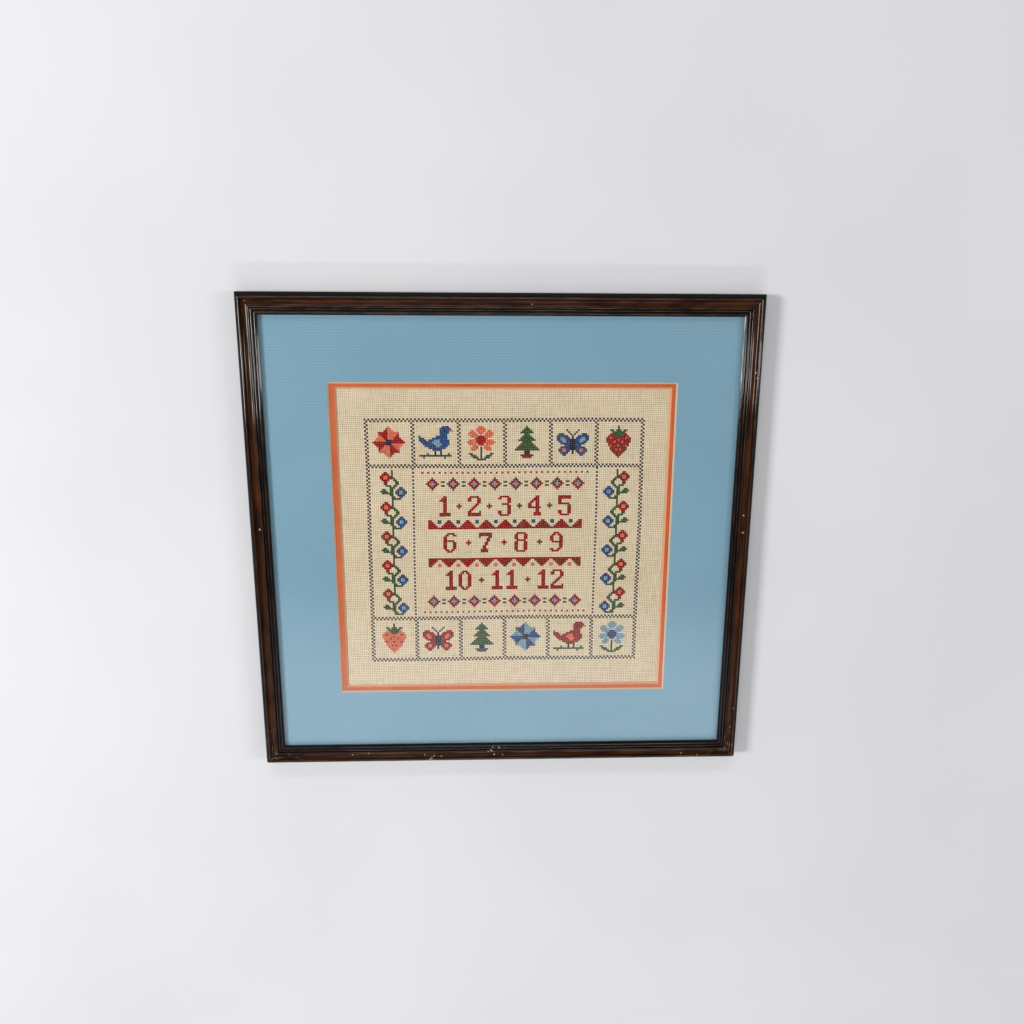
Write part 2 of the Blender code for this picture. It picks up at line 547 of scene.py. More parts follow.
@dataclass(frozen=True)
class Evenweave:
    """The ground cloth's finish: oatmeal cotton woven in blocks, with a hole at each block's corner,
    and painted shade in the holes, in the grooves between blocks and between the threads.
    """

    light: Colour = shade(232, 213, 182)
    dark: Colour = shade(190, 164, 130)
    # Painted shade: the colour of the holes at the blocks' corners
    hole: Colour = shade(84, 60, 38)
    threads: int = 4
    slub_across: Streaks = Streaks(0.12, 1.1, 0.0, 3.0)
    slub_up: Streaks = Streaks(1.1, 0.12, 5.0, 3.0)
    patches: Streaks = Streaks(0.05, 0.05, 2.0, 3.0)
    relief: float = 0.18 * MM

    def material(self) -> bpy.types.Material:
        """Makes the material.

        Returns:
            The material.
        """
        paint = Paint("evenweave")
        across, up, _ = paint.split(paint.laid("weave"))
        block_x = (across.fraction() - 0.5).absolute() * 2
        block_y = (up.fraction() - 0.5).absolute() * 2
        corner = block_x.between(0.50, 0.88) * block_y.between(0.50, 0.88)
        edge = block_x.highest(block_y).between(0.72, 1.0)
        turn = 2 * math.pi * self.threads
        warp = (across * turn).sine() * 0.5 + 0.5
        weft = (up * turn).sine() * 0.5 + 0.5
        slub = paint.drawn_out(across, up, self.slub_across)
        slub_up = paint.drawn_out(across, up, self.slub_up)
        patches = paint.drawn_out(across, up, self.patches)
        # Slubs and patches vary the tone; the warp, weft and edge terms are painted shade, lighter on
        # the threads' crowns and darker in the grooves between blocks
        share = 0.2 * warp + 0.2 * weft + 0.6 * slub + 0.6 * slub_up + 0.25 * patches - 0.5 * edge
        colour = paint.mixed(self.dark, self.light, share.between(0.42, 1.08))
        # Painted shade in the holes
        colour = paint.mixed(colour, self.hole, corner * 0.9)
        height = (warp + weft) * 0.25 + (1.0 - edge) * 0.3 + (1.0 - corner) * 0.5
        normal = paint.raised(height, self.relief)
        return paint.finish(Base_Color=colour, Roughness=0.92, Sheen_Weight=0.15, Normal=normal)


class Thread(Enum):
    """The threads by their letter in the chart, each with its colour."""

    RED = ("R", shade(160, 14, 16))
    NAVY = ("N", shade(20, 27, 60))
    BLUE = ("B", shade(40, 78, 132))
    SKY = ("L", shade(142, 176, 198))
    PEACH = ("P", shade(240, 128, 96))
    GREEN = ("G", shade(56, 92, 54))

    def __init__(self, letter: str, colour: Colour) -> None:
        """Names the two values of a member."""
        self.letter = letter
        self.colour = colour


@dataclass(frozen=True)
class Cotton:
    """A stranded cotton's finish: its dye, a little uneven, and a twist whose ridges are painted
    lighter as a soft sheen.
    """

    thread: Thread
    turns_along: float = 2.0
    turns_across: float = 6.0
    relief: float = 0.06 * MM

    def material(self) -> bpy.types.Material:
        """Makes the material.

        Returns:
            The material.
        """
        paint = Paint("cotton_" + self.thread.name.lower())
        along, across, _ = paint.split(paint.laid("strand"))
        turns = along * self.turns_along + across * self.turns_across
        twist = (turns * 2 * math.pi).sine() * 0.5 + 0.5
        # The dye varies per stitch; the twist term is a painted sheen, lighter on the twist's ridges
        uneven = 0.80 + 0.34 * paint.marked("dye") + 0.12 * twist
        colour = paint.tinted(self.thread.colour, uneven)
        normal = paint.raised(twist, self.relief)
        return paint.finish(
            Base_Color=colour, Roughness=0.6, Specular_IOR_Level=0.05, Normal=normal
        )


@dataclass(frozen=True)
class PictureGlass:
    """The pane's finish: clear, with the soft gleam of both its faces and a little dust."""

    tint: Colour = (0.985, 0.995, 0.995)
    haze: float = 0.02
    straight: float = 0.052
    dust: float = 0.002
    smear_lumps: float = 22.0

    def material(self) -> bpy.types.Material:
        """Makes the material.

        Returns:
            The material.
        """
        paint = Paint("picture_glass")
        clear = paint.node("ShaderNodeBsdfTransparent", inputs={"Color": self.tint})
        mirror = paint.node("ShaderNodeBsdfGlossy", inputs={"Roughness": self.haze})
        weight = paint.node("ShaderNodeLayerWeight", inputs={"Blend": 0.5})
        aslant = Signal(paint, weight.outputs["Facing"])
        smears = paint.cloud(paint.place(), self.smear_lumps, 4.0)
        share = self.straight + (1.0 - self.straight) * aslant**5 + smears * self.dust
        both = {0: share, 1: clear.outputs[0], 2: mirror.outputs[0]}
        shader = paint.node("ShaderNodeMixShader", inputs=both)
        paint.node("ShaderNodeOutputMaterial", inputs={"Surface": shader.outputs[0]})
        return paint.material


@dataclass(frozen=True)
class Hardboard:
    """The backing board's finish: plain brown pressed fibre."""

    light: Colour = shade(158, 126, 92)
    dark: Colour = shade(118, 90, 62)
    relief: float = 0.12 * MM
    fibre_lumps: float = 900.0
    patch_lumps: float = 14.0

    def material(self) -> bpy.types.Material:
        """Makes the material.

        Returns:
            The material.
        """
        paint = Paint("hardboard")
        place = paint.place()
        fibre = paint.cloud(place, self.fibre_lumps, 5.0)
        share = 0.6 * fibre + 0.4 * paint.cloud(place, self.patch_lumps)
        colour = paint.mixed(self.dark, self.light, share)
        normal = paint.raised(fibre, self.relief)
        return paint.finish(Base_Color=colour, Roughness=0.86, Normal=normal)


@dataclass(frozen=True)
class PaleFloor:
    """The floor's finish: matt off-white with the faintest mottling."""

    tone: Colour = shade(203, 203, 205)
    mottled: Colour = shade(199, 199, 201)
    patch_lumps: float = 3.0

    def material(self) -> bpy.types.Material:
        """Makes the material.

        Returns:
            The material.
        """
        paint = Paint("pale_floor")
        share = paint.cloud(paint.place(), self.patch_lumps)
        colour = paint.mixed(self.tone, self.mottled, share.between(0.35, 0.65))
        return paint.finish(Base_Color=colour, Roughness=0.9)


@dataclass(frozen=True)
class FaceArc:
    """A bead or hollow of the moulding's face: an arc about a centre, between two angles.

    180 degrees is its outer end, 90 is the crown of a bead and 270 is the floor of a hollow.
    """

    across: float
    up: float
    half_width: float
    rise: float
    first: float
    last: float
    steps: int

    def points(self) -> list[tuple[float, float, float]]:
        """Works out its points.

        Returns:
            The points, each (across, up, crest), where crest is 1 on a bead's crown.
        """
        made = []
        for step in range(self.steps + 1):
            angle = math.radians(self.first + (self.last - self.first) * step / self.steps)
            across = self.across + self.half_width * math.cos(angle)
            up = self.up + self.rise * math.sin(angle)
            made.append((across, up, max(0.0, math.sin(angle)) ** 3))
        return made


def start_fresh() -> None:
    """Leaves edit mode and deselects everything, so that the next operator acts on its own piece."""
    if bpy.context.object and bpy.context.object.mode != "OBJECT":
        bpy.ops.object.mode_set(mode="OBJECT")
    bpy.ops.object.select_all(action="DESELECT")


def named(name: str) -> bpy.types.Object:
    """Names the active object and its mesh.

    Args:
        name: The name.

    Returns:
        The object.
    """
    piece = bpy.context.object
    piece.name = name
    piece.data.name = name
    return piece


def points_of(piece: bpy.types.Object) -> np.ndarray:
    """Reads a piece's points.

    Args:
        piece: The piece.

    Returns:
        The points, one row each.
    """
    flat = np.empty(len(piece.data.vertices) * 3)
    piece.data.vertices.foreach_get("co", flat)
    return flat.reshape(-1, 3)


def set_points(piece: bpy.types.Object, points: np.ndarray) -> None:
    """Writes the piece's points."""
    piece.data.vertices.foreach_set("co", points.ravel())
    piece.data.update()


def set_map(piece: bpy.types.Object, name: str, laid: np.ndarray) -> None:
    """Gives a piece a UV map.

    Args:
        piece: The piece.
        name: The map's name.
        laid: A pair of numbers for each of the piece's points.
    """
    corners = np.empty(len(piece.data.loops), dtype=np.int32)
    piece.data.loops.foreach_get("vertex_index", corners)
    layer = piece.data.uv_layers.new(name=name)
    layer.data.foreach_set("uv", laid[corners].ravel())


def set_mark(piece: bpy.types.Object, name: str, values: np.ndarray) -> None:
    """Gives the piece a number of that name at each of its points."""
    attribute = piece.data.attributes.new(name, "FLOAT", "POINT")
    attribute.data.foreach_set("value", np.asarray(values, dtype=np.float32))


def smoothed(piece: bpy.types.Object, degrees: float) -> None:
    """Shades a piece smooth, with sharp edges past an angle.

    Args:
        piece: The piece.
        degrees: The angle.
    """
    start_fresh()
    piece.select_set(True)
    bpy.context.view_layer.objects.active = piece
    bpy.ops.object.shade_smooth_by_angle(angle=math.radians(degrees))


def edit_all() -> None:
    """Enters edit mode on the active piece with all of it selected."""
    bpy.ops.object.mode_set(mode="EDIT")
    bpy.ops.mesh.select_all(action="SELECT")


def extrude(x: float, y: float, z: float) -> None:
    """Extrudes what is selected and moves it by x, y and z."""
    bpy.ops.mesh.extrude_region_move(TRANSFORM_OT_translate={"value": (x, y, z)})


def end_edit() -> None:
    """Turns every face outwards and leaves edit mode."""
    bpy.ops.mesh.select_all(action="SELECT")
    bpy.ops.mesh.normals_make_consistent(inside=False)
    bpy.ops.object.mode_set(mode="OBJECT")


@dataclass
class Moulding:
    """The four mitred rails of the frame."""

    width: float
    height: float
    rail_width: float = 20.4 * MM
    rebate_from: float = 15.0 * MM
    lip_underside: float = 15.5 * MM
    side_height: float = 12.0 * MM
    lip_edge: float = 16.3 * MM
    gap: float = 0.3 * MM
    stretch: float = 6.0 * MM
    rub_depth: float = 0.16 * MM
    rub_lumps: tuple[float, float] = (60.0, 90.0)
    edge_wear: float = 0.4
    grain_shift: float = 0.7

    def face(self) -> list[tuple[float, float, float]]:
        """Works out the moulding's face.

        Returns:
            Its points from its outer side inwards, each (across, up, crest).
        """
        outer_bead = FaceArc(5.0 * MM, 18.3 * MM, 1.0 * MM, 0.9 * MM, 160, 0, 10)
        scoop = FaceArc(10.0 * MM, 18.4 * MM, 3.1 * MM, 1.9 * MM, 180, 360, 18)
        crest = FaceArc(13.5 * MM, 18.2 * MM, 0.5 * MM, 0.5 * MM, 150, 0, 8)
        fine_bead = FaceArc(15.4 * MM, 16.9 * MM, 0.9 * MM, 0.75 * MM, 180, 0, 10)
        lip_bead = FaceArc(18.5 * MM, 16.8 * MM, 1.1 * MM, 0.85 * MM, 180, 0, 12)
        shoulder = [
            (0.0, self.side_height - 0.5 * MM, 0.0),
            (0.1 * MM, self.side_height, 0.0),
            (3.4 * MM, 18.5 * MM, 0.0),
        ]
        quirk = [(6.1 * MM, 17.5 * MM, 0.0), (6.9 * MM, 17.5 * MM, 0.0)]
        step_foot = [(14.3 * MM, 16.9 * MM, 0.0)]
        face = shoulder + outer_bead.points() + quirk + scoop.points() + crest.points() + step_foot
        return face + fine_bead.points() + lip_bead.points()

    def section(self) -> np.ndarray:
        """Works out the closed section: up the outer side, over the face and down the rebate.

        Returns:
            Its points, one row each: across, up and crest.
        """
        rebate = [
            (self.rail_width, self.lip_edge, self.edge_wear),
            (self.rail_width, self.lip_underside, 0.0),
            (self.rebate_from, self.lip_underside, 0.0),
            (self.rebate_from, 0.0, 0.0),
        ]
        return np.array([(0.0, 0.0, 0.0)] + self.face() + rebate)

    def rail(self, name: str, length: float, turn: float, away: float) -> bpy.types.Object:
        """Models one rail: its section is drawn out in short stretches and cut at both mitres.

        Args:
            name: The piece's name.
            length: Its outer length.
            turn: How far it is turned about Z from the bottom rail.
            away: How far its outer side is from the frame's middle.

        Returns:
            The rail, in place.
        """
        section = self.section()
        count = len(section)
        start_fresh()
        bpy.ops.mesh.primitive_circle_add(vertices=count, radius=self.rail_width, fill_type="NGON")
        rail = named(name)
        set_points(rail, np.column_stack([np.full(count, -length / 2), section[:, :2]]))
        edit_all()
        stretches = round(length / self.stretch)
        for _ in range(stretches):
            extrude(length / stretches, 0, 0)
        mitre_gap = self.gap / 2 * math.sqrt(2)
        for side in (-1, 1):
            bpy.ops.mesh.select_all(action="SELECT")
            bpy.ops.mesh.bisect(
                plane_co=(side * (length / 2 - mitre_gap), 0, 0),
                plane_no=(side, 1, 0),
                use_fill=True,
                clear_outer=True,
            )
        end_edit()
        self.lay_grain(rail, section)
        rail.data.transform(Matrix.Rotation(turn, 4, "Z") @ Matrix.Translation((0, -away, 0)))
        smoothed(rail, 40)
        return rail

    def lay_grain(self, rail: bpy.types.Object, section: np.ndarray) -> None:
        """Maps the rail along and around its section, marks its crests and rubs them down a little.

        Each rail's name has its own length, which shifts the grain, so that no two look alike.

        Args:
            rail: The rail, along X.
            section: The points of its section.
        """
        points = points_of(rail)
        steps = np.hypot(*np.diff(section[:, :2], axis=0).T)
        around = np.concatenate([[0.0], np.cumsum(steps)])
        apart = np.hypot(
            points[:, 1, None] - section[None, :, 0],
            points[:, 2, None] - section[None, :, 1],
        )
        nearest = apart.argmin(axis=1)
        crest = section[nearest, 2]
        shift = self.grain_shift * len(rail.name)
        set_map(rail, "rail", np.column_stack([points[:, 0] + shift, around[nearest]]))
        set_mark(rail, "across", section[nearest, 0])
        set_mark(rail, "crest", crest)
        along_lumps, across_lumps = self.rub_lumps
        for index in np.nonzero(crest > 0.05)[0]:
            x, y, z = points[index]
            rub = noise.noise(Vector((x * along_lumps + shift, y * across_lumps, 4.0)))
            points[index, 2] = z - self.rub_depth * crest[index] * max(0.0, rub)
        set_points(rail, points)

    def build(self) -> list[bpy.types.Object]:
        """Models the four rails and gives them their finish.

        Returns:
            The rails.
        """
        sides = (
            ("rail_bottom", self.width, 0.0, self.height / 2),
            ("rail_right", self.height, math.pi / 2, self.width / 2),
            ("rail_top", self.width, math.pi, self.height / 2),
            ("rail_left", self.height, -math.pi / 2, self.width / 2),
        )
        wood = StainedWood(self.width / 2, self.height / 2).material()
        rails = []
        for node, length, turn, away in sides:
            rail = self.rail("moulding_" + node, length, turn, away)
            rail.data.materials.append(wood)
            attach(rail, BODY)
            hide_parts(node)
            rails.append(rail)
        return rails


BARE = "."

# Charts of single motifs, drawn for this sampler. Those in HALVES are the left half with the
# middle column, and are mirrored.
HALVES = {
    "tree": """
    .......G
    ......GG
    .....GGG
    ....GGGG
    ......GG
    .....GGG
    ....GGGG
    ...GGGGG
    .....GGG
    ....GGGG
    ...GGGGG
    ..GGGGGG
    .GGGGGGG
    ......NN
    ......NN
    ....RRRR
    .....RRR""",
    "butterfly": """
    .....N...
    ......N..
    .BBB...N.
    BBBBBB..N
    BBLLBBB.N
    BBLLLBBNN
    .BBLLBBNN
    ..BBBBBNN
    ....BBBNN
    ..BBBBBNN
    .BBPPBBNN
    .BBPPBB.N
    ..BBBB..N
    ...BB....""",
    "strawberry": """
    ......G
    ......G
    ..GG.GG
    ...GGGG
    ..RRGGG
    .RRRRGG
    RRPRRRR
    RRRRRRP
    RRRRPRR
    .RRRRRR
    .RPRRRP
    ..RRRRR
    ..RRRPR
    ...RRRR
    ....RRR
    .....RR
    ......R""",
    "daisy": """
    ......PP
    .....PPP
    ..PP.PPP
    .PPPP.PP
    .PPPPP.P
    ..PPPPRR
    ....PRRR
    .PPPPRRR
    PPPPPRRR
    .PPPP.RR
    ...PPP.P
    ..PPPP.G
    ..PPP..G
    .......G
    .GG....G
    ..GGG..G
    ...GGG.G
    .....GGG""",
}
WHOLES = {
    "bird": """
    ............BBBB..
    ...........BBBBBB.
    ...........BBNBBPP
    ...........BBBBB..
    ...........BBBB...
    B........BBBBBB...
    BBB....BBBBBBBB...
    BBBB.BBBLLLBBBBB..
    .BBBBBBLLLLBBBBB..
    ..BBBBBBLLLLBBBB..
    ...BBBBBBLLBBBB...
    .....BBBBBBBBB....
    .......BBBBB......
    ........N..N......
    ....G...N..N...G..
    GGGGGGGGGGGGGGGGG.
    ..G..........G....""",
    "vine": """
    .........G........
    .....RR..G........
    ....RRRR.G........
    ...RRPPRRG........
    ...RRPPRRGG.......
    ....RRRR..GG......
    .....RR....GG.....
    .....GG....GG.....
    ......GGG.GG......
    ........GGG..BB...
    ....GG..GG..BBBB..
    ...GGGG.GG.BBLLBB.
    ....GGGGGG.BBLLBB.
    ........GG..BBBB..
    .........GG..BB...
    .........GGGGG....""",
    "spot": """
    .R.
    RRR
    .R.""",
}
DIGITS = {
    "0": "..###.. .##.##. ##...## ##...## ##...## ##...## ##...## ##...## ##...## .##.##. ..###..",
    "1": "...##.. ..###.. .####.. ...##.. ...##.. ...##.. ...##.. ...##.. ...##.. .###### .######",
    "2": ".#####. ##...## ##...## .....## ....##. ...##.. ..##... .##.... ##....# ####### #######",
    "3": ".#####. ##...## .....## .....## ..####. .....## .....## .....## ##...## ##...## .#####.",
    "4": "....##. ...###. ..####. .##.##. ##..##. ##..##. ####### ....##. ....##. ...#### ...####",
    "5": "####### ####### ##..... ##..... ######. .....## .....## .....## ##...## ##...## .#####.",
    "6": "..####. .##..## ##..... ##..... ######. ##...## ##...## ##...## ##...## .##.##. ..###..",
    "7": "####### ####### #....## ....##. ....##. ...##.. ...##.. ..##... ..##... .####.. .####..",
    "8": ".#####. ##...## ##...## ##...## .#####. ##...## ##...## ##...## ##...## ##...## .#####.",
    "9": "..###.. .##.##. ##...## ##...## ##...## .###### .....## .....## .....## ##..##. .####..",
}
DIGIT_ROWS = 11

# The lines of numbers: each line's top row, its numbers, and the columns between two of them
NUMBER_LINES = ((41, "1 2 3 4 5", 8), (61, "6 7 8 9", 11), (82, "10 11 12", 9))


def motif(name: str) -> list[str]:
    """Reads a motif's chart.

    Args:
        name: The motif's name.

    Returns:
        Its rows, whole.
    """
    if name in WHOLES:
        return WHOLES[name].split()
    return [row + row[-2::-1] for row in HALVES[name].split()]


@dataclass
class Chart:
    """The sampler's chart: a letter for each stitched square of the cloth, row 0 at its top."""

    square: int = 22
    line: int = 2
    squares: int = 6
    rows: int = 134
    dotted_rows: tuple[int, int] = (28, 105)
    diamond_rows: tuple[int, int] = (31, 96)
    teeth_rows: tuple[int, int] = (54, 75)
    repeats: int = 8

    def __post_init__(self) -> None:
        """Draws the whole chart."""
        self.pitch = self.square + self.line
        self.columns = self.squares * self.pitch + self.line
        self.bottom_band = self.rows - self.pitch - self.line
        self.cells = np.full((self.rows, self.columns), BARE)
        self.draw_lines()
        self.draw_squares()
        self.draw_sides()
        self.draw_middle()

    def put(self, rows: list[str], left: int, top: int, dyes: dict[str, str]) -> None:
        """Draws a small chart at a place.

        Args:
            rows: Its rows.
            left: Its leftmost column.
            top: Its top row.
            dyes: Letters that stand for others.
        """
        for down, row in enumerate(rows):
            for across, letter in enumerate(row):
                if letter != BARE:
                    self.cells[top + down, left + across] = dyes.get(letter, letter)

    def check(self, left: int, top: int, width: int, height: int) -> None:
        """Draws a line of checks.

        Args:
            left: Its leftmost column.
            top: Its top row.
            width: Its columns.
            height: Its rows.
        """
        for row in range(top, top + height):
            for column in range(left, left + width):
                if (row + column) % 2 == 0:
                    self.cells[row, column] = Thread.NAVY.letter

    def draw_lines(self) -> None:
        """Draws the checked lines: the border and the squares of the top and bottom bands."""
        for top in (0, self.pitch, self.bottom_band, self.rows - self.line):
            self.check(0, top, self.columns, self.line)
        for left in (0, self.columns - self.line):
            self.check(left, 0, self.line, self.rows)
        for number in range(1, self.squares):
            for top in (0, self.bottom_band):
                self.check(number * self.pitch, top, self.line, self.pitch)
        for column in (self.pitch, self.columns - self.pitch - 1):
            self.cells[self.pitch + self.line : self.bottom_band : 2, column] = Thread.NAVY.letter

    def star(self) -> list[str]:
        """Works out an eight pointed star: a square and a diamond over each other, in two dyes.

        Returns:
            Its rows.
        """
        reach = 8
        side = 5
        rows = []
        for down in range(-reach, reach + 1):
            row = ""
            for across in range(-reach, reach + 1):
                far, near = max(abs(across), abs(down)), min(abs(across), abs(down))
                if far > side and far + near > reach:
                    row += BARE
                elif far <= 1:
                    row += Thread.NAVY.letter
                else:
                    leading = (abs(across) > abs(down)) != (across * down > 0)
                    row += (Thread.RED if leading else Thread.PEACH).letter
            rows.append(row)
        return rows

    def draw_squares(self) -> None:
        """Draws a motif in each square of the two bands, the lower band in other dyes."""
        to_red = {"B": "R", "L": "P"}
        to_blue = {"R": "B", "P": "L"}
        upper = ("star", "bird", "daisy", "tree", "butterfly", "strawberry")
        lower = {
            "strawberry": {"R": "P", "P": "R"},
            "butterfly": to_red,
            "tree": to_blue,
            "star": to_blue,
            "bird": to_red,
            "daisy": to_blue,
        }
        for top, band in ((0, dict.fromkeys(upper, {})), (self.bottom_band, lower)):
            for number, (name, dyes) in enumerate(band.items()):
                rows = self.star() if name == "star" else motif(name)
                left = number * self.pitch + self.line + (self.square - len(rows[0])) // 2
                self.put(rows, left, top + self.line + (self.square - len(rows)) // 2, dyes)

    def draw_sides(self) -> None:
        """Draws a climbing vine up each side, the right one mirrored."""
        vine = motif("vine")
        turns = 5
        left = self.line + (self.square - len(vine[0])) // 2
        right = self.columns - left - len(vine[0])
        first = self.pitch + self.line + 1
        for top in range(first, first + turns * len(vine), len(vine)):
            self.put(vine, left, top, {})
            self.put([row[::-1] for row in vine], right, top, {})

    def draw_middle(self) -> None:
        """Draws the counted numbers in three rows, with bands above, between and below."""
        left = self.pitch + self.line
        spacing = 3
        dots = slice(left + spacing, self.columns - left - spacing, spacing)
        for row in self.dotted_rows:
            self.cells[row, dots] = Thread.RED.letter
        for top in self.diamond_rows:
            self.draw_diamonds(left + 5, top)
        depths = range(5)
        orders = (depths, depths[::-1])
        for top, order, spots in zip(self.teeth_rows, orders, (Thread.BLUE, Thread.PEACH)):
            self.draw_teeth(left + 6, top, order, spots)
        for top, numbers, between in NUMBER_LINES:
            self.draw_numbers(numbers.split(), top, between)

    def draw_numbers(self, numbers: list[str], top: int, spacing: int) -> None:
        """Draws numbers in a row, centred, with a spot between each two.

        Args:
            numbers: The numbers.
            top: Their top row.
            spacing: The columns between two of them.
        """
        spot = motif("spot")
        pad = (spacing - len(spot[0])) // 2
        above = [BARE * spacing] * ((DIGIT_ROWS - len(spot)) // 2)
        middle = [BARE * pad + row + BARE * (spacing - pad - len(row)) for row in spot]
        rows = [""] * DIGIT_ROWS
        for place, number in enumerate(numbers):
            for digit in number:
                rows = [row + part + BARE for row, part in zip(rows, DIGITS[digit].split())]
            if place < len(numbers) - 1:
                rows = [row + part for row, part in zip(rows, above + middle + above)]
        self.put(rows, (self.columns - len(rows[0])) // 2, top, {"#": Thread.RED.letter})

    def draw_teeth(self, left: int, top: int, order: range, spots: Thread) -> None:
        """Draws a band of red teeth with a spot in each gap.

        Args:
            left: Its leftmost column.
            top: Its top row.
            order: Its rows from the tips of the teeth to their feet.
            spots: The thread of the spots.
        """
        slope = (0, 0, 1, 2, 3, 4, 4, 3, 2, 1)
        for across in range(self.repeats * len(slope) + 2):
            tip = slope[across % len(slope)]
            for down, row in enumerate(order):
                if down >= tip:
                    self.cells[top + row, left + across] = Thread.RED.letter
                elif tip == max(slope) and down <= 1:
                    self.cells[top + row, left + across] = spots.letter

    def draw_diamonds(self, left: int, top: int) -> None:
        """Draws a row of red diamonds with pale hearts, and a pair of green dashes between them.

        Args:
            left: Its leftmost column.
            top: Its top row.
        """
        reach = 3
        gap = 4
        for number in range(self.repeats):
            middle = left + reach + number * (2 * reach + 1 + gap)
            for down in range(-reach, reach + 1):
                for across in range(-reach, reach + 1):
                    away = abs(across) + abs(down)
                    if away <= reach:
                        letter = (Thread.SKY if away <= 1 else Thread.RED).letter
                        self.cells[top + reach + down, middle + across] = letter
            if number < self.repeats - 1:
                for down in (-1, 1):
                    dash = middle + reach + 2
                    self.cells[top + reach + down, dash : dash + 2] = Thread.GREEN.letter


@dataclass(frozen=True)
class Stitch:
    """One cross stitch: its points, its faces, and each point's place along and across its strand."""

    points: np.ndarray
    faces: list[tuple[int, ...]]
    laid: np.ndarray


@dataclass
class Sampler:
    """The ground cloth and its stitches, in the place of the cloth's solid.

    A strand's body and dive are shares of half its length, and its depth and lifts are shares of its
    height. A stitch strays by a share of the pitch, leans by degrees and swells by a share.
    """

    low: Vector
    high: Vector
    pitch: float = 1.814 * MM
    middle: tuple[float, float] = (1.7 * MM, -2.5 * MM)
    margin: int = 15
    hole_depth: float = 0.16 * MM
    strand_width: float = 1.32 * MM
    strand_height: float = 0.34 * MM
    strand_body: float = 0.95
    strand_dive: float = 0.47
    strand_depth: float = 0.95
    lifts: tuple[float, float] = (0.05, 0.55)
    stray: float = 0.02
    lean: float = 2.5
    swell: float = 0.06
    chart: Chart = field(default_factory=Chart)

    @property
    def face(self) -> float:
        """The height of the cloth's face."""
        return self.high.z

    @property
    def left(self) -> float:
        """The chart's left side."""
        return self.middle[0] - self.chart.columns / 2 * self.pitch

    @property
    def foot(self) -> float:
        """The chart's lower side."""
        return self.middle[1] - self.chart.rows / 2 * self.pitch

    def eased(self, points: np.ndarray) -> np.ndarray:
        """Moves points with the slight wander of the cloth's threads, as mounted by hand.

        Args:
            points: The points, one row each.

        Returns:
            The moved points.
        """
        x, y = points[:, 0], points[:, 1]
        moved = points.copy()
        moved[:, 0] += 0.45 * MM * np.sin(14.0 * y + 1.0) + 0.20 * MM * np.sin(41.0 * y + 9.0 * x)
        moved[:, 1] += 0.40 * MM * np.sin(12.0 * x + 0.4) + 0.18 * MM * np.sin(37.0 * x - 11.0 * y)
        return moved

    def ground(self) -> bpy.types.Object:
        """Models the cloth: a fine grid of woven blocks in the window, and a plain margin round it.

        Returns:
            The cloth.
        """
        columns = self.chart.columns + 2 * self.margin
        rows = self.chart.rows + 2 * self.margin
        size = Vector((columns * self.pitch, rows * self.pitch, 1.0))
        middle = Vector((*self.middle, self.face))
        start_fresh()
        bpy.ops.mesh.primitive_grid_add(x_subdivisions=columns, y_subdivisions=rows, size=1.0)
        cloth = named("stitched_ground")
        corners = len(cloth.data.vertices)
        set_points(cloth, points_of(cloth) * np.array(size) + np.array(middle))
        edit_all()
        bpy.ops.mesh.poke()
        bpy.ops.object.mode_set(mode="OBJECT")
        points = points_of(cloth)
        blocks = self.in_blocks(points)
        points[:corners, 2] -= self.hole_depth
        set_points(cloth, self.eased(points))
        sheet = self.high - self.low
        grow = Vector((sheet.x / size.x, sheet.y / size.y, 1.0))
        pivot = [middle[k] * grow[k] / (grow[k] - 1.0) for k in range(2)]
        bpy.ops.object.mode_set(mode="EDIT")
        bpy.ops.mesh.select_mode(type="EDGE")
        bpy.ops.mesh.select_all(action="DESELECT")
        bpy.ops.mesh.select_non_manifold()
        bpy.ops.mesh.extrude_region_move()
        bpy.ops.transform.resize(value=grow, center_override=(pivot[0], pivot[1], self.face))
        extrude(0, 0, self.low.z - self.face)
        bpy.ops.mesh.edge_face_add()
        end_edit()
        laid = self.in_blocks(points_of(cloth))
        laid[: len(blocks)] = blocks
        set_map(cloth, "weave", laid)
        smoothed(cloth, 60)
        cloth.data.materials.append(Evenweave().material())
        return cloth

    def in_blocks(self, points: np.ndarray) -> np.ndarray:
        """Gives where points lie across and up the chart, in blocks from its lower left corner."""
        return (points[:, :2] - np.array([self.left, self.foot])) / self.pitch

    def strand(self) -> bpy.types.Object:
        """Models one strand of a stitch: a plump bar that dives into a hole at each end.

        Returns:
            The strand, along X about the origin.
        """
        reach = self.pitch * math.sqrt(2) / 2
        start_fresh()
        bpy.ops.mesh.primitive_cube_add(size=1.0)
        strand = named("strand")
        on_edge = Matrix.Rotation(math.pi / 4, 4, "X")
        width = self.strand_width / math.sqrt(2)
        flatten = Matrix.Diagonal((reach * self.strand_body, width, self.strand_height, 1.0))
        strand.data.transform(flatten @ on_edge)
        bpy.ops.object.mode_set(mode="EDIT")
        bpy.ops.mesh.select_mode(type="FACE")
        for side in (-1, 1):
            bpy.ops.mesh.select_all(action="DESELECT")
            bpy.ops.object.mode_set(mode="OBJECT")
            for face in strand.data.polygons:
                face.select = face.normal.x * side > 0.9
            bpy.ops.object.mode_set(mode="EDIT")
            extrude(side * reach * self.strand_dive, 0, -self.strand_height * self.strand_depth)
            bpy.ops.mesh.merge(type="COLLAPSE")
        bpy.ops.object.mode_set(mode="OBJECT")
        return strand

